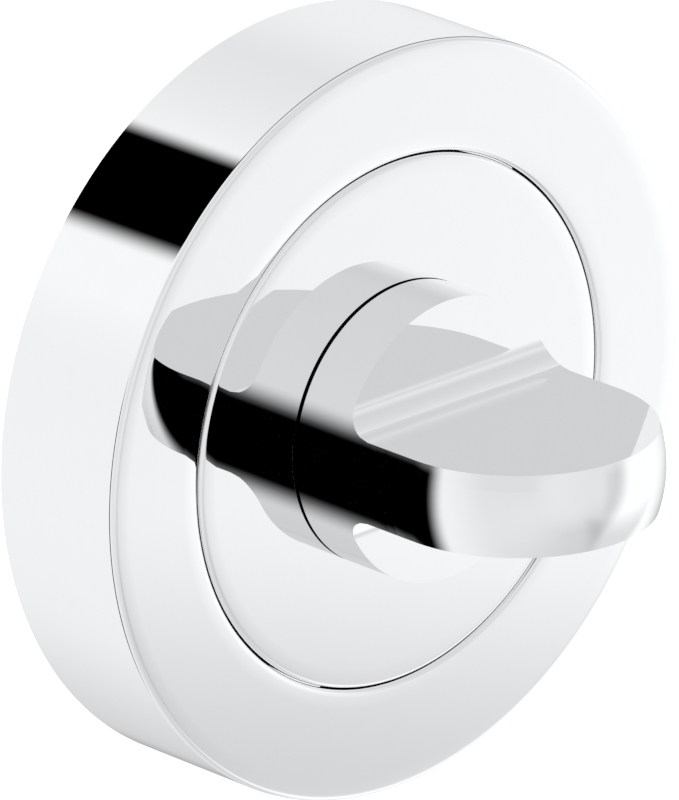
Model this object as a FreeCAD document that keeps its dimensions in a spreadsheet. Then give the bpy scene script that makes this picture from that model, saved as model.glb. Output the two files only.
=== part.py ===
import FreeCAD, Part

import math
import os

import Sketcher

# Bathroom thumb turn on a round rose, in millimetres.
# The origin is the centre of the rose on the door face. The turn points out of the door along -Y,
# its spindle runs into the door along +Y, and +Z is up. Every piece is drawn in a frame of its own
# whose Z is the turn's axis and counts height above the door. Its placement lays that Z on -Y.

SIZES = {
    # outer ring cover
    "rose_radius": 26.0,
    "rose_depth": 10.6,
    "cover_wall": 1.5,
    "cover_face": 1.7,
    "cover_edge": 0.4,
    # flush centre disc
    "disc_radius": 18.25,
    "disc_gap": 0.15,
    "disc_edge": 0.3,
    "flange_fit": 0.3,
    "flange_thickness": 1.3,
    "boss_radius": 9.9,
    "boss_back": 4.0,
    "boss_fit": 0.1,
    "key_width": 3.0,
    "key_reach": 1.6,
    # plate behind the cover
    "plate_thickness": 2.2,
    "thread_gap": 0.1,
    "rim_wall": 1.5,
    "rim_height": 6.6,
    "collar_wall": 4.0,
    "bolt_spacing": 38.0,
    "bolt_hole_radius": 2.15,
    "screw_hole_radius": 1.8,
    "screw_sink": 1.2,
    "screw_land": 0.1,
    # neck and blade of the turn
    "neck_radius": 9.75,
    "neck_length": 4.45,
    "blade_centre": 10.8,
    "blade_thickness": 5.7,
    "cove_radius": 1.95,
    "blade_edge": 0.15,
    # shank of the turn
    "shank_radius": 5.5,
    "shank_back": 0.6,
    "shank_bevel": 0.4,
    # bush
    "bush_fit": 0.05,
    "bush_wall": 1.03,
    "bush_seat": 0.02,
    "bush_back": 4.2,
    "bush_flange": 1.0,
    "bush_inset": 0.65,
    "bush_proud": 0.1,
    "bush_rim_fit": 0.05,
    "turn_play": 0.02,
    # wave spring, washer and circlip
    "wave_height": 0.9,
    "wave_thickness": 0.25,
    "wave_count": 3,
    "washer_thickness": 0.5,
    "washer_radius": 8.2,
    "washer_fit": 0.3,
    "clip_thickness": 1.0,
    "clip_groove": 0.3,
    "clip_side_fit": 0.05,
    "clip_seat": 0.02,
    "clip_width": 1.5,
    "clip_offset": 0.35,
    "clip_opening": 3.6,
    "clip_lug_radius": 1.15,
    "clip_lug_sink": 0.25,
    "clip_eye_radius": 0.5,
    # square spindle and its cross pin
    "spindle_width": 5.0,
    "spindle_fit": 0.05,
    "spindle_reach": 20.0,
    "spindle_seat": 9.2,
    "spindle_bevel": 0.5,
    "socket_relief": 0.3,
    "pin_radius": 1.0,
    "pin_fit": 0.02,
    "pin_height": 6.5,
    "pin_length": 10.4,
    "pin_wall": 0.4,
    "pin_slit": 0.4,
}

doc = FreeCAD.newDocument("thumb_turn")
sheet = doc.addObject("Spreadsheet::Sheet", "sizes")


class Size:
    """A length that knows both its value and the spreadsheet expression behind it."""

    def __init__(self, value, text):
        self.value = value
        self.text = text

    @staticmethod
    def of(thing):
        return thing if isinstance(thing, Size) else Size(float(thing), repr(float(thing)))

    def join(self, other, sign, value):
        return Size(value, f"({self.text} {sign} {Size.of(other).text})")

    def __add__(self, other):
        return self.join(other, "+", self.value + Size.of(other).value)

    def __sub__(self, other):
        return self.join(other, "-", self.value - Size.of(other).value)

    def __mul__(self, other):
        return self.join(other, "*", self.value * Size.of(other).value)

    def __truediv__(self, other):
        return self.join(other, "/", self.value / Size.of(other).value)

    def __neg__(self):
        return Size(-self.value, f"(-1 * {self.text})")


def lesser(first, second):
    """The smaller of two lengths."""
    return Size(min(first.value, second.value), f"min({first.text}; {second.text})")


def fill_sheet():
    """Writes each driving size into a cell that has its name as the alias."""
    for row, (name, value) in enumerate(SIZES.items(), start=1):
        sheet.set(f"A{row}", name)
        sheet.set(f"B{row}", str(value))
        sheet.setAlias(f"B{row}", name)
    doc.recompute()
    return {name: Size(float(sheet.get(name)), f"sizes.{name}") for name in SIZES}


d = fill_sheet()
ZERO = Size(0.0, "0")

# Heights above the door and radii that more than one piece uses.
face = d["rose_depth"]
cover_bore = d["rose_radius"] - d["cover_wall"]
cover_hole = d["disc_radius"] + d["disc_gap"]
cover_inside = face - d["cover_face"]
flange_back = cover_inside - d["flange_thickness"]
collar_bore = d["boss_radius"] + d["boss_fit"]
bush_bore = d["shank_radius"] + d["bush_fit"]
bush_radius = bush_bore + d["bush_wall"]
bush_rim = d["neck_radius"] - d["bush_inset"]
bush_top = face + d["bush_proud"]
bush_floor = bush_top - d["bush_flange"]
neck_base = bush_top + d["turn_play"]
shoulder = face + d["neck_length"]
blade_centre = face + d["blade_centre"]
wave_back = d["boss_back"] - d["turn_play"] - d["wave_height"]
washer_top = wave_back - d["turn_play"]
washer_back = washer_top - d["washer_thickness"]
clip_back = washer_back - d["clip_thickness"]
groove_floor = d["shank_radius"] - d["clip_groove"]
pin_hole = d["pin_radius"] + d["pin_fit"]


def bind(item, name, size):
    """Ties one property of an object to the spreadsheet."""
    item.setExpression(name, Size.of(size).text)


def place(item, height=ZERO):
    """Lays the piece's own Z on the turn's axis, with its base at this height above the door."""
    upright = FreeCAD.Rotation(FreeCAD.Vector(1, 0, 0), 90)
    item.Placement = FreeCAD.Placement(FreeCAD.Vector(0, -height.value, 0), upright)
    bind(item, "Placement.Base.y", -height)


def new_body(label):
    body = doc.addObject("PartDesign::Body", label)
    body.Label = label
    return body


def origin_feature(body, role):
    """One of the body's own origin planes or axes."""
    return [feature for feature in body.Origin.OriginFeatures if feature.Role == role][0]


def new_sketch(body, name, plane, height=None):
    """A sketch on one of the body's own origin planes, raised along that plane's normal."""
    flat = body.newObject("Sketcher::SketchObject", f"{body.Label}_{name}")
    flat.AttachmentSupport = [(origin_feature(body, plane), "")]
    flat.MapMode = "FlatFace"
    if height is not None:
        bind(flat, "AttachmentOffset.Base.z", height)
    return flat


def fix_point(flat, curve, end, x, y):
    """Holds one end of a sketch curve where the spreadsheet says."""
    for kind, axis, size in (("DistanceX", -2, x), ("DistanceY", -1, y)):
        if size.value == 0.0:
            flat.addConstraint(Sketcher.Constraint("PointOnObject", curve, end, axis))
            continue
        index = flat.addConstraint(Sketcher.Constraint(kind, -1, 1, curve, end, size.value))
        flat.setExpression(f"Constraints[{index}]", size.text)


def line_chain(flat, corners):
    """Adds joined straight lines through corners, each corner held by the spreadsheet."""
    points = [FreeCAD.Vector(x.value, y.value, 0) for x, y in corners]
    curves = []
    for start, end in zip(points, points[1:]):
        curves.append(flat.addGeometry(Part.LineSegment(start, end), False))
    for before, after in zip(curves, curves[1:]):
        flat.addConstraint(Sketcher.Constraint("Coincident", before, 2, after, 1))
    for curve, corner in zip(curves, corners):
        fix_point(flat, curve, 1, *corner)
    fix_point(flat, curves[-1], 2, *corners[-1])
    return curves


def outline(flat, corners):
    """Adds a closed outline of straight lines."""
    curves = line_chain(flat, corners)
    first, last = (FreeCAD.Vector(x.value, y.value, 0) for x, y in (corners[0], corners[-1]))
    closing = flat.addGeometry(Part.LineSegment(last, first), False)
    flat.addConstraint(Sketcher.Constraint("Coincident", curves[-1], 2, closing, 1))
    flat.addConstraint(Sketcher.Constraint("Coincident", closing, 2, curves[0], 1))


def rectangle(flat, low_x, high_x, low_y, high_y):
    outline(flat, [(low_x, low_y), (high_x, low_y), (high_x, high_y), (low_x, high_y)])


def circle(flat, x, y, radius):
    """Adds a circle whose centre and radius the spreadsheet holds."""
    centre = FreeCAD.Vector(x.value, y.value, 0)
    curve = flat.addGeometry(Part.Circle(centre, FreeCAD.Vector(0, 0, 1), radius.value), False)
    fix_point(flat, curve, 3, x, y)
    index = flat.addConstraint(Sketcher.Constraint("Radius", curve, radius.value))
    flat.setExpression(f"Constraints[{index}]", radius.text)


def quarter_arc(flat, centre, radius, start_turns):
    """Adds a quarter circle about centre, starting this many quarter turns round from X."""
    whole = Part.Circle(
        FreeCAD.Vector(centre[0].value, centre[1].value, 0), FreeCAD.Vector(0, 0, 1), radius.value
    )
    start = start_turns * math.pi / 2
    return flat.addGeometry(Part.ArcOfCircle(whole, start, start + math.pi / 2), False)


def revolved(body, flat):
    """Turns a sketch once round the body's Z axis."""
    made = body.newObject("PartDesign::Revolution", f"{body.Label}_turned")
    made.Profile = flat
    made.ReferenceAxis = (flat, ["V_Axis"])
    made.Angle = 360
    doc.recompute()


def padded(body, flat, name, length, midplane=False):
    """Raises a sketch along its normal."""
    made = body.newObject("PartDesign::Pad", f"{body.Label}_{name}")
    made.Profile = flat
    made.Midplane = midplane
    bind(made, "Length", length)
    doc.recompute()


def cut(body, flat, name, length, reverse=False, midplane=False):
    """Cuts a sketch out of the body and makes sure that it took something away."""
    before = body.Tip.Shape.Volume
    made = body.newObject("PartDesign::Pocket", f"{body.Label}_{name}")
    made.Profile = flat
    made.Reversed = reverse
    made.Midplane = midplane
    bind(made, "Length", length)
    doc.recompute()
    if not made.Shape.Volume < before:
        raise RuntimeError(f"{made.Name} cut nothing")
    return made


def ring_edges(shape, radius, height):
    """Names of the round edges of this radius at this height, wherever their centre is."""
    found = []
    for number, edge in enumerate(shape.Edges, start=1):
        if not isinstance(edge.Curve, Part.Circle):
            continue
        same_height = math.isclose(edge.Curve.Center.z, height.value, abs_tol=1e-4)
        if same_height and math.isclose(edge.Curve.Radius, radius.value, abs_tol=1e-4):
            found.append(f"Edge{number}")
    return found


def bevelled(body, name, edges, size):
    """Breaks named edges of the body's last feature with an even bevel."""
    base = body.Tip
    made = body.newObject("PartDesign::Chamfer", f"{body.Label}_{name}")
    made.Base = (base, edges)
    bind(made, "Size", size)
    doc.recompute()


def make_rose_cover():
    """The outer ring: a turned cup with a wide hole in its face that screws on over the plate."""
    body = new_body("rose_cover")
    flat = new_sketch(body, "section", "XZ_Plane")
    outline(
        flat,
        [
            (cover_bore, ZERO),
            (d["rose_radius"], ZERO),
            (d["rose_radius"], face),
            (cover_hole, face),
            (cover_hole, cover_inside),
            (cover_bore, cover_inside),
        ],
    )
    revolved(body, flat)
    bevelled(body, "outer_edge", ring_edges(body.Tip.Shape, d["rose_radius"], face), d["cover_edge"])
    bevelled(body, "hole_edge", ring_edges(body.Tip.Shape, cover_hole, face), d["disc_edge"])
    place(body)


def make_face_disc():
    """The flush centre disc: a flange under the cover's lip, and a keyed boss that holds the bush."""
    body = new_body("face_disc")
    bore = bush_radius + d["bush_seat"]
    recess = bush_rim + d["bush_rim_fit"]
    flange = cover_bore - d["flange_fit"]
    flat = new_sketch(body, "section", "XZ_Plane")
    outline(
        flat,
        [
            (bore, d["boss_back"]),
            (d["boss_radius"], d["boss_back"]),
            (d["boss_radius"], flange_back),
            (flange, flange_back),
            (flange, cover_inside),
            (d["disc_radius"], cover_inside),
            (d["disc_radius"], face),
            (recess, face),
            (recess, bush_floor),
            (bore, bush_floor),
        ],
    )
    revolved(body, flat)
    key = new_sketch(body, "key", "XY_Plane", d["boss_back"])
    half = d["key_width"] / 2
    rectangle(key, bush_radius + d["bush_wall"], d["boss_radius"] + d["key_reach"], -half, half)
    padded(body, key, "key_pad", flange_back - d["boss_back"])
    bevelled(body, "rim_edge", ring_edges(body.Tip.Shape, d["disc_radius"], face), d["disc_edge"])
    place(body)


def make_inner_rose():
    """The cast plate that is fixed to the door, with a threaded rim and a collar for the disc."""
    body = new_body("inner_rose")
    rim = cover_bore - d["thread_gap"]
    collar = collar_bore + d["collar_wall"]
    flat = new_sketch(body, "section", "XZ_Plane")
    outline(
        flat,
        [
            (collar_bore, ZERO),
            (rim, ZERO),
            (rim, d["rim_height"]),
            (rim - d["rim_wall"], d["rim_height"]),
            (rim - d["rim_wall"], d["plate_thickness"]),
            (collar, d["plate_thickness"]),
            (collar, flange_back),
            (collar_bore, flange_back),
        ],
    )
    revolved(body, flat)

    slot = new_sketch(body, "key_slot", "XY_Plane", d["boss_back"] - d["boss_fit"])
    half = d["key_width"] / 2 + d["boss_fit"]
    slot_end = d["boss_radius"] + d["key_reach"] + d["boss_fit"]
    rectangle(slot, d["boss_radius"], slot_end, -half, half)
    cut(body, slot, "key_slot_cut", face, reverse=True)

    holes = new_sketch(body, "holes", "XY_Plane")
    bolt_x = d["bolt_spacing"] / 2
    screw_y = (collar + rim - d["rim_wall"]) / 2
    room = rim - d["rim_wall"] - screw_y - d["screw_hole_radius"] - d["screw_land"]
    for x in (-bolt_x, bolt_x):
        circle(holes, x, ZERO, d["bolt_hole_radius"])
    for y in (-screw_y, screw_y):
        circle(holes, ZERO, y, d["screw_hole_radius"])
    cut(body, holes, "fixing_holes", d["plate_thickness"], reverse=True)
    mouths = ring_edges(body.Tip.Shape, d["screw_hole_radius"], d["plate_thickness"])
    bevelled(body, "screw_sinks", mouths, lesser(d["screw_sink"], room))
    place(body)


def make_turn_bush():
    """The black flanged bush: the shank runs in it and the neck bears on its flange."""
    body = new_body("turn_bush")
    flat = new_sketch(body, "section", "XZ_Plane")
    outline(
        flat,
        [
            (bush_bore, d["bush_back"]),
            (bush_radius, d["bush_back"]),
            (bush_radius, bush_floor),
            (bush_rim, bush_floor),
            (bush_rim, bush_top),
            (bush_bore, bush_top),
        ],
    )
    revolved(body, flat)
    place(body)


def blade_side_edges(shape):
    """Names of the edges where the milled sides of the blade meet its turned surface."""
    found = []
    for number, edge in enumerate(shape.Edges, start=1):
        spot = edge.valueAt((edge.FirstParameter + edge.LastParameter) / 2)
        above = max(spot.z - blade_centre.value, 0.0)
        on_turned = math.isclose(
            math.hypot(spot.x, spot.y, above), d["neck_radius"].value, abs_tol=1e-3
        )
        on_side = abs(spot.y) > d["blade_thickness"].value / 2 - 1e-3
        if on_turned and on_side and spot.z > shoulder.value - 1e-3:
            found.append(f"Edge{number}")
    return found


def make_turn_knob():
    """The turn, one piece: a turned neck with a ball end, milled to a blade, and a hollow shank."""
    body = new_body("turn_knob")
    shank = d["shank_radius"]
    groove_low = clip_back - d["clip_side_fit"]
    groove_high = washer_back + d["clip_side_fit"]
    flat = new_sketch(body, "section", "XZ_Plane")
    sides = line_chain(
        flat,
        [
            (ZERO, d["shank_back"]),
            (shank - d["shank_bevel"], d["shank_back"]),
            (shank, d["shank_back"] + d["shank_bevel"]),
            (shank, groove_low),
            (groove_floor, groove_low),
            (groove_floor, groove_high),
            (shank, groove_high),
            (shank, neck_base),
            (d["neck_radius"], neck_base),
            (d["neck_radius"], blade_centre),
        ],
    )
    ball = quarter_arc(flat, (ZERO, blade_centre), d["neck_radius"], 0)
    tip = FreeCAD.Vector(0, blade_centre.value + d["neck_radius"].value, 0)
    axis = flat.addGeometry(Part.LineSegment(tip, FreeCAD.Vector(0, d["shank_back"].value, 0)), False)
    fix_point(flat, ball, 3, ZERO, blade_centre)
    flat.addConstraint(Sketcher.Constraint("Coincident", sides[-1], 2, ball, 1))
    flat.addConstraint(Sketcher.Constraint("PointOnObject", ball, 2, -2))
    flat.addConstraint(Sketcher.Constraint("Coincident", ball, 2, axis, 1))
    flat.addConstraint(Sketcher.Constraint("Coincident", axis, 2, sides[0], 1))
    revolved(body, flat)

    # Each side of the blade is milled flat and runs out to the neck's shoulder in a round cove.
    half = d["blade_thickness"] / 2
    cove = d["cove_radius"]
    clear_y = d["neck_radius"] + cove
    clear_z = blade_centre + d["neck_radius"] + cove
    side = new_sketch(body, "blade_side", "YZ_Plane")
    lines = line_chain(
        side,
        [
            (half, shoulder + cove),
            (half, clear_z),
            (clear_y, clear_z),
            (clear_y, shoulder),
            (half + cove, shoulder),
        ],
    )
    bend = quarter_arc(side, (half + cove, shoulder + cove), cove, 2)
    side.addConstraint(Sketcher.Constraint("Coincident", bend, 1, lines[0], 1))
    side.addConstraint(Sketcher.Constraint("Coincident", bend, 2, lines[-1], 2))
    index = side.addConstraint(Sketcher.Constraint("Radius", bend, cove.value))
    side.setExpression(f"Constraints[{index}]", cove.text)
    milled = cut(body, side, "milled_side", clear_y * 2, midplane=True)
    mirrored = body.newObject("PartDesign::Mirrored", "turn_knob_milled_sides")
    mirrored.Originals = [milled]
    mirrored.MirrorPlane = (origin_feature(body, "XZ_Plane"), [""])
    body.Tip = mirrored
    doc.recompute()
    if not mirrored.Shape.Volume < milled.Shape.Volume:
        raise RuntimeError("the blade's second side was not milled")
    bevelled(body, "blade_edges", blade_side_edges(mirrored.Shape), d["blade_edge"])

    socket = new_sketch(body, "socket", "XY_Plane")
    socket_half = d["spindle_width"] / 2 + d["spindle_fit"]
    rectangle(socket, -socket_half, socket_half, -socket_half, socket_half)
    cut(body, socket, "square_socket", d["spindle_seat"] + d["socket_relief"], reverse=True)
    cross_hole = new_sketch(body, "cross_hole", "YZ_Plane")
    circle(cross_hole, ZERO, d["pin_height"], pin_hole)
    cut(body, cross_hole, "pin_hole", shank * 2, midplane=True)
    place(body)


def wavy_ring(radius, swing, waves):
    """A closed curve of this radius that rises and falls evenly round the shank."""
    points = []
    steps = waves * 8
    for step in range(steps):
        angle = 2 * math.pi * step / steps
        height = swing + swing * math.cos(waves * angle)
        points.append(FreeCAD.Vector(radius * math.cos(angle), radius * math.sin(angle), height))
    curve = Part.BSplineCurve()
    curve.interpolate(Points=points, PeriodicFlag=True)
    return curve.toShape()


def make_wave_washer():
    """The wave spring that gives the turn its drag: a thin ring bent in even waves."""
    thickness = float(sheet.get("wave_thickness"))
    swing = (float(sheet.get("wave_height")) - thickness) / 2
    inner = float(sheet.get("shank_radius")) + float(sheet.get("washer_fit"))
    outer = float(sheet.get("washer_radius"))
    waves = int(sheet.get("wave_count"))
    surface = Part.makeRuledSurface(wavy_ring(inner, swing, waves), wavy_ring(outer, swing, waves))
    item = doc.addObject("Part::Feature", "wave_washer")
    item.Label = "wave_washer"
    item.Shape = surface.extrude(FreeCAD.Vector(0, 0, thickness))
    place(item, wave_back)


def make_thrust_washer():
    """The flat washer between the wave spring and the circlip."""
    body = new_body("thrust_washer")
    flat = new_sketch(body, "ring", "XY_Plane")
    circle(flat, ZERO, ZERO, d["washer_radius"])
    circle(flat, ZERO, ZERO, d["shank_radius"] + d["washer_fit"])
    padded(body, flat, "washer", d["washer_thickness"])
    place(body, washer_back)


def make_circlip():
    """The circlip in the shank's groove: thicker opposite its opening, with two eyes for pliers."""
    body = new_body("circlip")
    seat = groove_floor + d["clip_seat"]
    outer = seat + d["clip_width"]
    half = d["clip_opening"] / 2
    lug_x = half + d["clip_lug_radius"] - d["clip_lug_sink"]
    lug_y = -(seat + d["clip_lug_radius"] / 2)
    ring = new_sketch(body, "ring", "XY_Plane")
    circle(ring, ZERO, d["clip_offset"], outer)
    circle(ring, ZERO, ZERO, seat)
    padded(body, ring, "ring_pad", d["clip_thickness"])
    lugs = new_sketch(body, "lugs", "XY_Plane")
    for x in (-lug_x, lug_x):
        circle(lugs, x, lug_y, d["clip_lug_radius"])
    padded(body, lugs, "lug_pads", d["clip_thickness"])
    opening = new_sketch(body, "opening", "XY_Plane")
    rectangle(opening, -half, half, -(outer + half), ZERO)
    cut(body, opening, "gap", d["clip_thickness"], reverse=True)
    eyes = new_sketch(body, "eyes", "XY_Plane")
    for x in (-lug_x, lug_x):
        circle(eyes, x, lug_y, d["clip_eye_radius"])
    cut(body, eyes, "plier_eyes", d["clip_thickness"], reverse=True)
    place(body, clip_back)


def make_spindle():
    """The square steel spindle that carries the turn into the lock case in the door."""
    body = new_body("spindle")
    half = d["spindle_width"] / 2
    flat = new_sketch(body, "square", "XY_Plane")
    rectangle(flat, -half, half, -half, half)
    padded(body, flat, "bar", d["spindle_reach"] + d["spindle_seat"])
    ends = []
    for number, edge in enumerate(body.Tip.Shape.Edges, start=1):
        if edge.BoundBox.ZLength < d["spindle_bevel"].value:
            ends.append(f"Edge{number}")
    bevelled(body, "end_bevels", ends, d["spindle_bevel"])
    cross_hole = new_sketch(body, "cross_hole", "YZ_Plane")
    circle(cross_hole, ZERO, d["spindle_reach"] + d["pin_height"], pin_hole)
    cut(body, cross_hole, "pin_hole", d["spindle_width"] * 2, midplane=True)
    place(body, -d["spindle_reach"])


def make_spindle_pin():
    """The slit spring pin driven across the shank and the spindle."""
    body = new_body("spindle_pin")
    flat = new_sketch(body, "ring", "YZ_Plane")
    circle(flat, ZERO, ZERO, d["pin_radius"])
    circle(flat, ZERO, ZERO, d["pin_radius"] - d["pin_wall"])
    padded(body, flat, "tube", d["pin_length"], midplane=True)
    slit = new_sketch(body, "slit", "YZ_Plane")
    half = d["pin_slit"] / 2
    rectangle(slit, -half, half, ZERO, d["pin_radius"] + half)
    cut(body, slit, "slit_cut", d["pin_length"] * 2, midplane=True)
    place(body, d["pin_height"])


def write_parts():
    """Checks every object and writes one STEP file for each piece."""
    doc.recompute()
    for item in doc.Objects:
        if {"Invalid", "Error"} & set(item.State):
            raise RuntimeError(f"{item.Name} failed: {item.State}")
    pieces = [item for item in doc.Objects if item.TypeId in ("PartDesign::Body", "Part::Feature")]
    for item in pieces:
        if item.Shape.isNull() or not item.Shape.isValid() or not item.Shape.Solids:
            raise RuntimeError(f"{item.Label} has no valid solid")
    os.makedirs("parts", exist_ok=True)
    for item in pieces:
        item.Shape.exportStep(f"parts/{item.Label}.step")
        box = item.Shape.BoundBox
        print(item.Label, len(item.Shape.Solids), round(item.Shape.Volume, 3), box)


make_rose_cover()
make_face_disc()
make_inner_rose()
make_turn_bush()
make_turn_knob()
make_wave_washer()
make_thrust_washer()
make_circlip()
make_spindle()
make_spindle_pin()
write_parts()
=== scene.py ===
import math

import bmesh
import bpy
from mathutils import Matrix, Vector


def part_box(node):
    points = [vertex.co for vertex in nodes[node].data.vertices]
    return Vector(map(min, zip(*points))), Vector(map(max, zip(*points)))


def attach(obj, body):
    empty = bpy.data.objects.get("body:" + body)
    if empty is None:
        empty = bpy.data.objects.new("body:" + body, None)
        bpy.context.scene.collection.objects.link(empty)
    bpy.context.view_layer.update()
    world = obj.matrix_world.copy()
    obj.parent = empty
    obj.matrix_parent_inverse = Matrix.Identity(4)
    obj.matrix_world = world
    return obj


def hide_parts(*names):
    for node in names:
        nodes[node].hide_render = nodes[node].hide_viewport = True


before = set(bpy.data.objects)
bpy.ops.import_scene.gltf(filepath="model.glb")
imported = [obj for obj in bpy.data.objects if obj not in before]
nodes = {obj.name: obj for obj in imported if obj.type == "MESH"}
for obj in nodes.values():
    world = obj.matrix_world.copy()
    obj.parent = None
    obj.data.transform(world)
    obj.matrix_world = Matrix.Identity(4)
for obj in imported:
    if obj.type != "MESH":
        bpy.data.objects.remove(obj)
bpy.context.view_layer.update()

# The camera stands 0.9 m off, to the user's left and a little above, with a long lens, as in the
# photograph. The frame is 679 by 800 and shows 15.1 pixels to a millimetre of the object.
FRAME_HEIGHT = 800
SENSOR_MM = 36.0
PIXELS_PER_METRE = 15100
CAMERA_DISTANCE = 0.9
CAMERA_AZIMUTH = math.radians(-44.2)
CAMERA_ELEVATION = math.radians(21.1)
AIM_RIGHT = 0.00336
AIM_UP = -0.00131
NEAREST_SEEN = 0.01


def linked(name, data):
    """An object that holds this data, linked to the scene."""
    made = bpy.data.objects.new(name, data)
    bpy.context.scene.collection.objects.link(made)
    return made


back = Vector((
    math.sin(CAMERA_AZIMUTH) * math.cos(CAMERA_ELEVATION),
    -math.cos(CAMERA_AZIMUTH) * math.cos(CAMERA_ELEVATION),
    math.sin(CAMERA_ELEVATION),
))
right = Vector((0, 0, 1)).cross(back).normalized()
up = back.cross(right)
camera = linked("camera", bpy.data.cameras.new("camera"))
camera.data.sensor_width = SENSOR_MM
camera.data.lens = PIXELS_PER_METRE * CAMERA_DISTANCE * SENSOR_MM / FRAME_HEIGHT
camera.data.clip_start = NEAREST_SEEN
camera.matrix_world = Matrix.Translation(right * AIM_RIGHT + up * AIM_UP + back * CAMERA_DISTANCE) @ (
    Matrix((right, up, back)).transposed().to_4x4()
)
bpy.context.scene.camera = camera
bpy.context.scene.view_settings.view_transform = "Standard"

# The studio is a pale tent round the rose. Each of its levels belongs to a direction, in degrees
# round the rose from +X towards +Z. A direction's reach runs from -1, straight ahead of the rose,
# to 1, straight behind it, and tells where one part of the tent gives way to the next.
FULL_TURN = 360.0
REAR_LEVELS = (
    (-180, 0.94), (-151, 0.955), (-111, 0.935), (-91, 0.84), (-71, 0.74), (-51, 0.68), (-42, 0.50),
    (-32, 0.38), (-18, 0.86), (0, 0.91), (29, 0.93), (49, 0.83), (59, 0.82), (79, 0.89),
    (90, 0.93), (128, 1.05), (140, 1.05), (159, 0.935), (180, 0.94),
)
REAR_REACH = (-0.45, 0.25)
REAR_REACH_LOW_RIGHT = (-0.10, 0.60)
FRONT_LEVELS = (
    (-180, 0.80), (-150, 0.85), (-120, 0.80), (-90, 0.70), (-55, 0.68), (-30, 0.90), (0, 0.88),
    (16, 0.84), (29, 0.68), (46, 0.75), (75, 0.75), (110, 0.76), (150, 0.78), (180, 0.78),
)
GLOW_LEVELS = (0.70, 1.07)
GLOW_REACH = (-0.80, -0.60)
GLOW_RIGHT = (0.30, 0.50)
GLOW_LOW = (0.15, -0.05)
AHEAD_LEVELS = (0.86, 0.82)
AHEAD_REACH = (-0.80, -0.97)
AHEAD_ACROSS = (-0.30, 0.45)
TENT_TINT = (0.992, 0.996, 1.0, 1.0)
BACKDROP = 1.1

# A black card stands behind the rose on the upper left and another one on the left, and a dark
# edge runs over the top, so the polished chrome has something to show. Each has its angles round
# the rose and its reach, both with how softly they end where four numbers are given. The far
# reach is the left card's in light that has been mirrored twice.
RIM_CARD = (98.0, 125.0, 6.0, 7.0)
RIM_CARD_REACH = (0.20, 0.40)
LEFT_CARD = (180.0, 235.0, 22.0, 30.0)
LEFT_CARD_REACH = (0.46, 0.60, 0.26, 0.05)
FAR_CARD_REACH = (0.66, 0.60)
TOP_EDGE = (10.0, 100.0, 30.0, 20.0)
TOP_EDGE_REACH = (0.36, 0.61, 0.12, 0.04)
TOP_EDGE_SHADE = 0.75
TWICE_FROM = 1.5


def math_node(tree, operation, *values):
    """A Math node between values or sockets; returns its output."""
    node = tree.nodes.new("ShaderNodeMath")
    node.operation = operation
    for socket, value in zip(node.inputs, values):
        if isinstance(value, bpy.types.NodeSocket):
            tree.links.new(value, socket)
        else:
            socket.default_value = value
    return node.outputs["Value"]


def product(tree, first, *others):
    """The product of values or sockets."""
    for other in others:
        first = math_node(tree, "MULTIPLY", first, other)
    return first


def slope(tree, value, start, end, low=0.0, high=1.0):
    """Runs smoothly from low to high as value goes from start to end, which may be the lesser."""
    node = tree.nodes.new("ShaderNodeMapRange")
    node.interpolation_type = "SMOOTHSTEP"
    tree.links.new(value, node.inputs["Value"])
    for name, number in zip(("From Min", "From Max", "To Min", "To Max"), (start, end, low, high)):
        node.inputs[name].default_value = number
    return node.outputs["Result"]


def band(tree, value, low, high, low_softness, high_softness):
    """1 where value lies between low and high, and falls to 0 over the softness outside."""
    rise = slope(tree, value, low - low_softness, low)
    fall = slope(tree, value, high + high_softness, high)
    return product(tree, rise, fall)


def levels(tree, share_of_turn, stops):
    """The tent's level round the rose, from (degrees, level) stops."""
    ramp = tree.nodes.new("ShaderNodeValToRGB")
    ramp.color_ramp.interpolation = "B_SPLINE"
    elements = ramp.color_ramp.elements
    while len(elements) < len(stops):
        elements.new(0.5)
    for element, (angle, level) in zip(elements, stops):
        element.position = (angle + FULL_TURN / 2) / FULL_TURN
        element.color = (level, level, level, 1.0)
    tree.links.new(share_of_turn, ramp.inputs["Fac"])
    return ramp.outputs["Color"]


def mixed(tree, share, first, second):
    """First where share is 0, second where it is 1."""
    node = tree.nodes.new("ShaderNodeMix")
    tree.links.new(share, node.inputs["Factor"])
    tree.links.new(first, node.inputs["A"])
    tree.links.new(second, node.inputs["B"])
    return node.outputs["Result"]


world = bpy.data.worlds.new("tent")
world.use_nodes = True
bpy.context.scene.world = world
tree = world.node_tree
direction = tree.nodes.new("ShaderNodeTexCoord").outputs["Generated"]
split = tree.nodes.new("ShaderNodeSeparateXYZ")
tree.links.new(direction, split.inputs["Vector"])
x, reach, z = (split.outputs[axis] for axis in "XYZ")
degrees = product(tree, math_node(tree, "ARCTAN2", z, x), 180 / math.pi)
share_of_turn = math_node(tree, "ADD", math_node(tree, "DIVIDE", degrees, FULL_TURN), 0.5)
around = math_node(tree, "WRAP", degrees, FULL_TURN, 0.0)

# The front glows low on the right, and straight ahead it has a level of its own.
low_right = product(tree, slope(tree, x, *GLOW_RIGHT), slope(tree, z, *GLOW_LOW))
front = levels(tree, share_of_turn, FRONT_LEVELS)
front = mixed(tree, low_right, front, slope(tree, reach, *GLOW_REACH, *GLOW_LEVELS))
ahead_level = slope(tree, x, *AHEAD_ACROSS, *AHEAD_LEVELS)
front = mixed(tree, slope(tree, reach, *AHEAD_REACH), front, ahead_level)
rear = levels(tree, share_of_turn, REAR_LEVELS)
rear_share = mixed(
    tree, low_right, slope(tree, reach, *REAR_REACH), slope(tree, reach, *REAR_REACH_LOW_RIGHT)
)
tent = mixed(tree, rear_share, front, rear)

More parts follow.
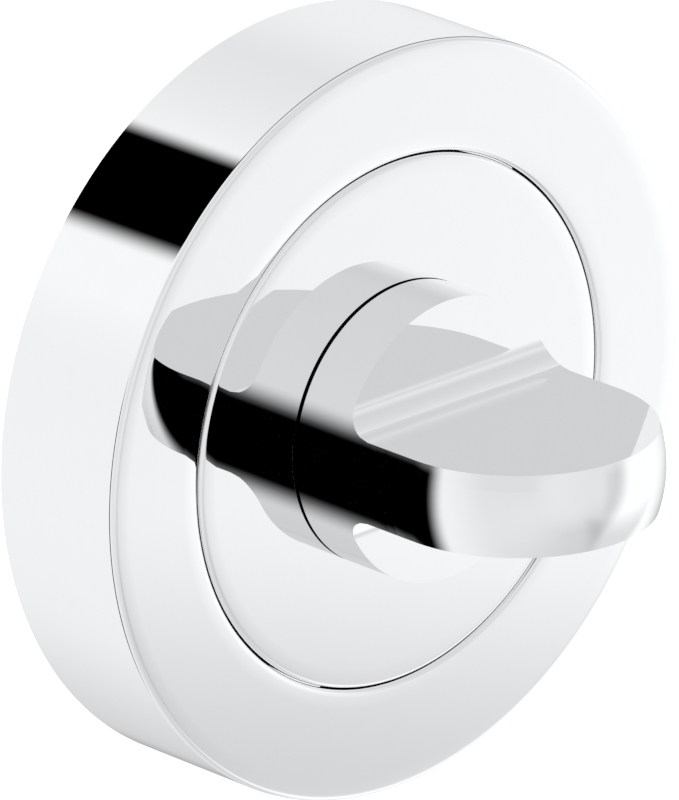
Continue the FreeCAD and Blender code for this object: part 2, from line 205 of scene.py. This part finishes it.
# The left card reaches further forward in what the rose's face shows to the turn, or the turn to
# the face, because two mirrors pass that on.
rays = tree.nodes.new("ShaderNodeLightPath")
twice = math_node(tree, "GREATER_THAN", rays.outputs["Glossy Depth"], TWICE_FROM)
once = math_node(tree, "SUBTRACT", 1.0, twice)
left_arc = band(tree, around, *LEFT_CARD)
cards = (
    product(tree, band(tree, around, *RIM_CARD), slope(tree, reach, *RIM_CARD_REACH)),
    product(tree, left_arc, band(tree, reach, *LEFT_CARD_REACH), once),
    product(tree, left_arc, slope(tree, reach, *FAR_CARD_REACH), twice),
    product(tree, band(tree, around, *TOP_EDGE), band(tree, reach, *TOP_EDGE_REACH), TOP_EDGE_SHADE),
)
dark = cards[0]
for card in cards[1:]:
    dark = math_node(tree, "MAXIMUM", dark, card)
tent = product(tree, tent, math_node(tree, "SUBTRACT", 1.0, dark))
seen = product(tree, rays.outputs["Is Camera Ray"], BACKDROP)
background = tree.nodes["Background"]
tree.links.new(math_node(tree, "MAXIMUM", tent, seen), background.inputs["Strength"])
background.inputs["Color"].default_value = TENT_TINT

# A grey sheet of painted shade lies in front of and below the rose, where the camera doesn't see it. It
# dims what the lower face reflects, the nearer to the rose the more: painted shade standing in for the
# shade under an object on a table.
SHADE_SHEET_DROP = 0.060
SHADE_SHEET_ACROSS = (0.010, 0.300)
SHADE_SHEET_AHEAD = (0.040, 0.320)
SHADE_SHEET_BORDER_ACROSS = 0.03
SHADE_SHEET_BORDER_AHEAD = 0.02
SHADE_SHEET_NEAR = 0.060
SHADE_SHEET_FAR = 0.104
PAINTED_SHADE_DARKNESS = 0.28


def level_sheet(name, across, ahead, drop):
    """A level rectangle below the rose, between two limits across it and two ahead of it."""
    mesh = bpy.data.meshes.new(name)
    corners = ((0, 0), (1, 0), (1, 1), (0, 1))
    mesh.from_pydata([(across[a], -ahead[b], -drop) for a, b in corners], [], [(0, 1, 2, 3)])
    return linked(name, mesh)


shade_sheet = level_sheet("shade_sheet", SHADE_SHEET_ACROSS, SHADE_SHEET_AHEAD, SHADE_SHEET_DROP)
for kind in ("camera", "diffuse", "shadow"):
    setattr(shade_sheet, "visible_" + kind, False)
# Painted shade: black mixed into a clear sheet, darkest near the rose and fading at its borders, so that
# the face's reflection darkens there.
painted_shade = bpy.data.materials.new("painted_shade_sheet")
painted_shade.use_nodes = True
tree = painted_shade.node_tree
tree.nodes.clear()
place = tree.nodes.new("ShaderNodeSeparateXYZ")
tree.links.new(tree.nodes.new("ShaderNodeTexCoord").outputs["Object"], place.inputs["Vector"])
across = place.outputs["X"]
ahead = product(tree, place.outputs["Y"], -1.0)
distance = product(tree, math_node(tree, "ADD", ahead, across), 0.5)
shade_darkness = slope(tree, distance, SHADE_SHEET_FAR, SHADE_SHEET_NEAR, 0.0, PAINTED_SHADE_DARKNESS)
border = product(
    tree,
    slope(tree, across, SHADE_SHEET_ACROSS[0], SHADE_SHEET_ACROSS[0] + SHADE_SHEET_BORDER_ACROSS),
    slope(tree, ahead, SHADE_SHEET_AHEAD[0], SHADE_SHEET_AHEAD[0] + SHADE_SHEET_BORDER_AHEAD),
)
clear = tree.nodes.new("ShaderNodeBsdfTransparent")
clear.inputs["Color"].default_value = (1.0, 1.0, 1.0, 1.0)
black = tree.nodes.new("ShaderNodeEmission")
black.inputs["Strength"].default_value = 0.0
blend = tree.nodes.new("ShaderNodeMixShader")
tree.links.new(product(tree, shade_darkness, border), blend.inputs["Fac"])
tree.links.new(clear.outputs["BSDF"], blend.inputs[1])
tree.links.new(black.outputs["Emission"], blend.inputs[2])
tree.links.new(blend.outputs["Shader"], tree.nodes.new("ShaderNodeOutputMaterial").inputs["Surface"])
shade_sheet.data.materials.append(painted_shade)

# A plain white floor, far enough below the rose to hold no shadow of it.
FLOOR_DROP = 0.25
FLOOR_HALF = 3.0
FLOOR_GLOW = 0.6
floor = level_sheet("floor", (-FLOOR_HALF, FLOOR_HALF), (FLOOR_HALF, -FLOOR_HALF), FLOOR_DROP)
floor.visible_glossy = False
white = bpy.data.materials.new("white_floor")
white.use_nodes = True
shader = white.node_tree.nodes["Principled BSDF"]
shader.inputs["Base Color"].default_value = (0.9, 0.9, 0.9, 1.0)
shader.inputs["Roughness"].default_value = 0.8
shader.inputs["Emission Color"].default_value = (1.0, 1.0, 1.0, 1.0)
shader.inputs["Emission Strength"].default_value = FLOOR_GLOW
floor.data.materials.append(white)

# Inner rose: the zinc casting that is screwed to the door, left dull with a fine cast grain.
# It shows only from behind, with its collar and its fixing holes.
GRAIN_DETAIL = 6.0
GRAIN_HEIGHT = 0.00005


def surface_grain():
    """A group that puts out a mask and a normal from fine noise, for metals and plastics."""
    group = bpy.data.node_groups.new("surface_grain", "ShaderNodeTree")
    for name in ("Scale", "Depth"):
        group.interface.new_socket(name, in_out="INPUT", socket_type="NodeSocketFloat")
    for name, kind in (("Mask", "NodeSocketFloat"), ("Normal", "NodeSocketVector")):
        group.interface.new_socket(name, in_out="OUTPUT", socket_type=kind)
    entry = group.nodes.new("NodeGroupInput")
    leave = group.nodes.new("NodeGroupOutput")
    place = group.nodes.new("ShaderNodeTexCoord")
    noise = group.nodes.new("ShaderNodeTexNoise")
    noise.inputs["Detail"].default_value = GRAIN_DETAIL
    bump = group.nodes.new("ShaderNodeBump")
    bump.inputs["Distance"].default_value = GRAIN_HEIGHT
    group.links.new(place.outputs["Object"], noise.inputs["Vector"])
    group.links.new(entry.outputs["Scale"], noise.inputs["Scale"])
    group.links.new(noise.outputs["Fac"], leave.inputs["Mask"])
    group.links.new(noise.outputs["Fac"], bump.inputs["Height"])
    group.links.new(entry.outputs["Depth"], bump.inputs["Strength"])
    group.links.new(bump.outputs["Normal"], leave.inputs["Normal"])
    return group


grain_group = surface_grain()


def finish_of(name, dark, pale, rough, metallic, scale, depth):
    """A material whose colour runs from dark to pale, and roughness over rough, with the grain."""
    material = bpy.data.materials.new(name)
    material.use_nodes = True
    tree = material.node_tree
    shader = tree.nodes["Principled BSDF"]
    shader.inputs["Metallic"].default_value = metallic
    grain = tree.nodes.new("ShaderNodeGroup")
    grain.node_tree = grain_group
    grain.inputs["Scale"].default_value = scale
    grain.inputs["Depth"].default_value = depth
    colour = tree.nodes.new("ShaderNodeValToRGB")
    colour.color_ramp.elements[0].color = (*dark, 1.0)
    colour.color_ramp.elements[1].color = (*pale, 1.0)
    gloss = tree.nodes.new("ShaderNodeMapRange")
    gloss.inputs["To Min"].default_value = rough[0]
    gloss.inputs["To Max"].default_value = rough[1]
    tree.links.new(grain.outputs["Mask"], colour.inputs["Fac"])
    tree.links.new(grain.outputs["Mask"], gloss.inputs["Value"])
    tree.links.new(colour.outputs["Color"], shader.inputs["Base Color"])
    tree.links.new(gloss.outputs["Result"], shader.inputs["Roughness"])
    tree.links.new(grain.outputs["Normal"], shader.inputs["Normal"])
    return material


def dress(node, material):
    """Gives a CAD node one material all over."""
    nodes[node].data.materials.clear()
    nodes[node].data.materials.append(material)


dress("inner_rose", finish_of(
    "cast_zinc", (0.30, 0.31, 0.32), (0.48, 0.49, 0.50), (0.38, 0.55), 1.0, 2600.0, 0.35
))

# Spindle: the square bar that works the lock case, drawn from steel and bright zinc plated.
# It slides into the turn's square socket, where the slit pin holds it.
zinc_plate = finish_of(
    "zinc_plate", (0.55, 0.57, 0.60), (0.70, 0.71, 0.72), (0.22, 0.34), 1.0, 1500.0, 0.15
)
dress("spindle", zinc_plate)

# Thrust washer: a flat ring stamped from zinc-plated steel. It lies on the shank between the
# wave washer and the circlip.
dress("thrust_washer", zinc_plate)

# Wave washer: a ring of dark oiled spring steel, pressed into waves. It pushes the thrust washer
# away from the disc's boss, which gives the turn its drag.
spring_steel = finish_of(
    "spring_steel", (0.10, 0.10, 0.105), (0.20, 0.20, 0.205), (0.28, 0.42), 1.0, 1800.0, 0.2
)
dress("wave_washer", spring_steel)

# Circlip: stamped from spring steel, with an eye in each end for the pliers. It snaps into the
# shank's groove and holds the turn in the rose.
dress("circlip", spring_steel)

# Spindle pin: rolled from spring steel with a slit along it, and driven across the shank.
dress("spindle_pin", spring_steel)

# Turn bush: moulded from black acetal and pushed into the disc's bore. Its flange is the thin
# black line where the neck meets the disc.
dress("turn_bush", finish_of(
    "black_acetal", (0.004, 0.004, 0.004), (0.009, 0.009, 0.009), (0.40, 0.55), 0.0, 1600.0, 0.2
))

# Rose cover: the outer ring, turned from brass, plated with polished chrome and screwed on to the
# inner rose. The polishing rounds its front edge and the edge of its hole, and takes the face
# down by a hair over the last millimetre before each edge.
MM = 0.001
ROUND_STEPS = 256
ARC_STEPS = 6
CREASE = math.radians(35)
rose_low, rose_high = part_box("rose_cover")
FACE = -rose_low.y
ROSE_RADIUS = rose_high.x
COVER_WALL = 1.5 * MM
COVER_FACE = 1.7 * MM
COVER_EDGE = 0.35 * MM
ROLL_WIDTH = 1.1 * MM
ROLL_DROP = 0.02 * MM
ROLL_STEPS = 6
DISC_RADIUS = 18.25 * MM
DISC_EDGE = 0.3 * MM
DISC_GAP = 0.1 * MM
polished = finish_of(
    "polished_chrome", (0.925, 0.93, 0.935), (0.94, 0.943, 0.946), (0.0, 0.012), 1.0, 500.0, 0.0015
)


def turned(name, profile, closed=True):
    """A ring turned about the Y axis from (radius, height above the door) points."""
    mesh = bpy.data.meshes.new(name)
    vertices = []
    for step in range(ROUND_STEPS):
        angle = 2 * math.pi * step / ROUND_STEPS
        for radius, height in profile:
            vertices.append((radius * math.cos(angle), -height, radius * math.sin(angle)))
    count = len(profile)
    faces = []
    for step in range(ROUND_STEPS):
        here, there = step * count, (step + 1) % ROUND_STEPS * count
        for index in range(count if closed else count - 1):
            after = (index + 1) % count
            faces.append((here + index, here + after, there + after, there + index))
    mesh.from_pydata(vertices, [], faces)
    return mesh


def rounded_corner(radius, height, size, inward):
    """Points from a wall up the quarter round of its front edge and on to the flat face. Inward
    is -1 on an outer edge and 1 round a hole."""
    points = []
    for step in range(ARC_STEPS + 1):
        angle = math.pi / 2 * step / ARC_STEPS
        points.append((
            radius + inward * size * (1 - math.cos(angle)),
            height - ROLL_DROP - size * (1 - math.sin(angle)),
        ))
    for step in range(1, ROLL_STEPS + 1):
        share = step / ROLL_STEPS
        points.append((
            radius + inward * (size + ROLL_WIDTH * share), height - ROLL_DROP * (1 - share) ** 2
        ))
    return points


def polished_piece(name, mesh, body, slot, material, *stood_for):
    """Links a mesh as a smooth piece with crisp edges, riding on a body and replacing its nodes."""
    working = bmesh.new()
    working.from_mesh(mesh)
    bmesh.ops.recalc_face_normals(working, faces=working.faces)
    working.to_mesh(mesh)
    working.free()
    mesh.materials.append(material)
    mesh.shade_smooth()
    mesh.set_sharp_from_angle(angle=CREASE)
    piece = linked(name, mesh)
    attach(piece, body)
    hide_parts(*stood_for)
    return piece


def weigh_normals(piece):
    """Keeps the flat faces flat where they run into a rounding."""
    weighted = piece.modifiers.new("weighted", "WEIGHTED_NORMAL")
    weighted.keep_sharp = True


cover_bore = ROSE_RADIUS - COVER_WALL
cover_hole = DISC_RADIUS + DISC_GAP
profile = [(cover_bore, 0.0), (ROSE_RADIUS, 0.0)]
profile += rounded_corner(ROSE_RADIUS, FACE, COVER_EDGE, -1)
profile += reversed(rounded_corner(cover_hole, FACE, DISC_EDGE, 1))
profile += [(cover_hole, FACE - COVER_FACE), (cover_bore, FACE - COVER_FACE)]
weigh_normals(polished_piece(
    "rose_cover_polished", turned("rose_cover_polished", profile), "rose", "polished_chrome", polished,
    "rose_cover",
))

# Face disc: the flush centre disc, chrome plated and polished like the ring, with a flange that
# the cover's lip clamps and a boss behind it that stands in the inner rose's collar.
BOSS_RADIUS = 9.9 * MM
BUSH_BORE = 6.6 * MM
RECESS_RADIUS = 9.15 * MM
RECESS_DEPTH = 0.9 * MM
FLANGE_THICKNESS = 1.3 * MM
disc_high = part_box("face_disc")[1]
boss_back = -disc_high.y
flange_radius = disc_high.x
flange_front = FACE - COVER_FACE
flange_back = flange_front - FLANGE_THICKNESS
recess_floor = FACE - RECESS_DEPTH
profile = [
    (BUSH_BORE, boss_back), (BOSS_RADIUS, boss_back), (BOSS_RADIUS, flange_back),
    (flange_radius, flange_back), (flange_radius, flange_front), (DISC_RADIUS, flange_front),
]
profile += rounded_corner(DISC_RADIUS, FACE, DISC_EDGE, -1)
profile += [(RECESS_RADIUS, FACE), (RECESS_RADIUS, recess_floor), (BUSH_BORE, recess_floor)]
weigh_normals(polished_piece(
    "face_disc_polished", turned("face_disc_polished", profile), "rose", "polished_chrome_disc", polished,
    "face_disc",
))

# A flat ring of the studio, which only reflections see, lies over the joint round the disc, so
# the blade doesn't mirror the joint's fine line. From behind it is clear, so the joint itself
# still looks open.
VEIL_HALF = 0.45 * MM
VEIL_LIFT = 0.002 * MM
veil_height = FACE + VEIL_LIFT
veil_edges = [(DISC_RADIUS - VEIL_HALF, veil_height), (DISC_RADIUS + VEIL_HALF, veil_height)]
veil = linked("joint_veil", turned("joint_veil", veil_edges, closed=False))
for kind in ("camera", "diffuse", "transmission", "volume_scatter", "shadow"):
    setattr(veil, "visible_" + kind, False)
one_way = polished.copy()
one_way.name = "one_way_chrome"
tree = one_way.node_tree
clear = tree.nodes.new("ShaderNodeBsdfTransparent")
sides = tree.nodes.new("ShaderNodeMixShader")
tree.links.new(tree.nodes.new("ShaderNodeNewGeometry").outputs["Backfacing"], sides.inputs["Fac"])
tree.links.new(tree.nodes["Principled BSDF"].outputs["BSDF"], sides.inputs[1])
tree.links.new(clear.outputs["BSDF"], sides.inputs[2])
tree.links.new(sides.outputs["Shader"], tree.nodes["Material Output"].inputs["Surface"])
veil.data.materials.append(one_way)

# Turn knob: one chrome-plated brass casting. A turned neck with a ball end is milled to a flat
# blade with round coves at its foot, and a hollow square-bored shank runs back through the rose.
knob_low, knob_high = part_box("turn_knob")
clip_low, clip_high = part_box("circlip")
NECK_RADIUS = knob_high.x
NECK_BASE = FACE + 0.17 * MM
SHOULDER = FACE + 4.45 * MM
BLADE_HALF = 2.85 * MM
BLADE_EDGE = 0.12 * MM
BLADE_EDGE_STEPS = 2
BLADE_EDGE_ANGLE = math.radians(40)
COVE = 1.95 * MM
SHANK_RADIUS = 5.5 * MM
SHANK_BEVEL = 0.4 * MM
SOCKET_HALF = 2.55 * MM
SOCKET_DEPTH = 9.5 * MM
GROOVE_FLOOR = 5.2 * MM
CLIP_SIDE_FIT = 0.05 * MM
SECTOR_STEPS = (14, 14, 36)
END_STEPS = 96
SLACK = 1e-6
ball_height = -knob_low.y - NECK_RADIUS
shank_back = -knob_high.y
groove = (-clip_high.y - CLIP_SIDE_FIT, -clip_low.y + CLIP_SIDE_FIT)
edge_angle = math.asin(BLADE_HALF / NECK_RADIUS)
foot_angle = math.asin((BLADE_HALF + COVE) / NECK_RADIUS)


def quadrant_angles():
    """Angles above the blade's level, finest over the blade's edge and its cove."""
    marks = (0.0, edge_angle, foot_angle, math.pi / 2)
    angles = []
    for low, high, steps in zip(marks, marks[1:], SECTOR_STEPS):
        angles += [low + (high - low) * step / steps for step in range(steps)]
    return angles + [math.pi / 2]


def rise_of(angle):
    """How far an angle stands above or below the blade's level."""
    return math.asin(min(abs(math.sin(angle)), 1.0))


def cove_height(level):
    """Height of the milled surface at this distance above or below the blade's middle."""
    out = max(COVE - (abs(level) - BLADE_HALF), 0.0)
    return SHOULDER + COVE - math.sqrt(max(COVE**2 - out**2, 0.0))


def shank_and_neck(form, angles):
    """Socket, shank and neck from the socket's floor up to the shoulder; returns the last ring."""
    corners = (
        (SOCKET_HALF, SOCKET_DEPTH),
        (SOCKET_HALF, shank_back),
        (SHANK_RADIUS - SHANK_BEVEL, shank_back),
        (SHANK_RADIUS, shank_back + SHANK_BEVEL),
        (SHANK_RADIUS, groove[0]),
        (GROOVE_FLOOR, groove[0]),
        (GROOVE_FLOOR, groove[1]),
        (SHANK_RADIUS, groove[1]),
        (SHANK_RADIUS, NECK_BASE),
        (NECK_RADIUS, NECK_BASE),
        (NECK_RADIUS, SHOULDER),
    )
    rings = []
    for radius, height in corners:
        ring = []
        for angle in angles:
            out = radius
            if radius == SOCKET_HALF:
                out = radius / max(abs(math.cos(angle)), abs(math.sin(angle)))
            ring.append(form.verts.new((out * math.cos(angle), -height, out * math.sin(angle))))
        rings.append(ring)
    form.faces.new(rings[0])
    for lower, upper in zip(rings, rings[1:]):
        for index in range(len(angles)):
            after = (index + 1) % len(angles)
            form.faces.new((lower[index], lower[after], upper[after], upper[index]))
    return rings[-1]


def neck_top(form, angles, shoulder_ring):
    """Carries the neck's wall up to where the milling ends, and returns that line's points."""
    top = []
    for angle, below in zip(angles, shoulder_ring):
        if rise_of(angle) > foot_angle - SLACK:
            top.append(below)
        else:
            level = NECK_RADIUS * math.sin(angle)
            height = cove_height(max(abs(level), BLADE_HALF))
            top.append(form.verts.new((NECK_RADIUS * math.cos(angle), -height, level)))
    for index in range(len(angles)):
        after = (index + 1) % len(angles)
        corners = (shoulder_ring[index], shoulder_ring[after], top[after], top[index])
        corners = list(dict.fromkeys(corners))
        if len(corners) > 2:
            form.faces.new(corners)
    return top


def mill_coves(form, quarter, angles, top):
    """Strips across the coves, and the shoulder's flats, from side to side, above and below."""
    count = len(angles)
    half = count // 2
    for sign in (1, -1):
        for near, (low_angle, high_angle) in enumerate(zip(quarter, quarter[1:])):
            if low_angle < edge_angle - SLACK or high_angle > foot_angle + SLACK:
                continue
            picks = (near, near + 1, half - near - 1, half - near)
            form.faces.new([top[sign * pick % count] for pick in picks])
        flat = [i for i in range(half + 1) if rise_of(angles[i]) > foot_angle - SLACK]
        form.faces.new([top[sign * i % count] for i in flat])


def raise_blade(form, quarter, angles, top):
    """The blade's rim, up its sides and over the ball end, in slices, and its two flat sides."""
    count = len(angles)
    half = count // 2
    side = [i for i, angle in enumerate(quarter) if angle < edge_angle + SLACK]
    walls = []
    for pick in [-i for i in reversed(side[1:])] + side:
        level = NECK_RADIUS * math.sin(angles[pick % count])
        width = math.sqrt(NECK_RADIUS**2 - level**2)
        row = [top[pick % count]]
        for step in range(END_STEPS + 1):
            bend = math.pi * step / END_STEPS
            height = ball_height + width * math.sin(bend)
            row.append(form.verts.new((width * math.cos(bend), -height, level)))
        row.append(top[(half - pick) % count])
        walls.append(row)
    for lower, upper in zip(walls, walls[1:]):
        for index in range(len(lower) - 1):
            form.faces.new((lower[index], upper[index], upper[index + 1], lower[index + 1]))
    form.faces.new(walls[0])
    form.faces.new(walls[-1])


def knob_mesh():
    """The whole turn as one closed mesh, built on one set of angles round its axis."""
    quarter = quadrant_angles()
    angles = quarter + [math.pi - a for a in reversed(quarter[:-1])]
    angles += [math.pi + a for a in quarter[1:]] + [2 * math.pi - a for a in reversed(quarter[1:-1])]
    form = bmesh.new()
    top = neck_top(form, angles, shank_and_neck(form, angles))
    mill_coves(form, quarter, angles, top)
    raise_blade(form, quarter, angles, top)
    mesh = bpy.data.meshes.new("turn_knob_polished")
    form.to_mesh(mesh)
    form.free()
    return mesh


knob = polished_piece(
    "turn_knob_polished", knob_mesh(), "turn", "polished_chrome_turn", polished, "turn_knob"
)
bevel = knob.modifiers.new("edges", "BEVEL")
bevel.width = BLADE_EDGE
bevel.segments = BLADE_EDGE_STEPS
bevel.limit_method = "ANGLE"
bevel.angle_limit = BLADE_EDGE_ANGLE
weigh_normals(knob)
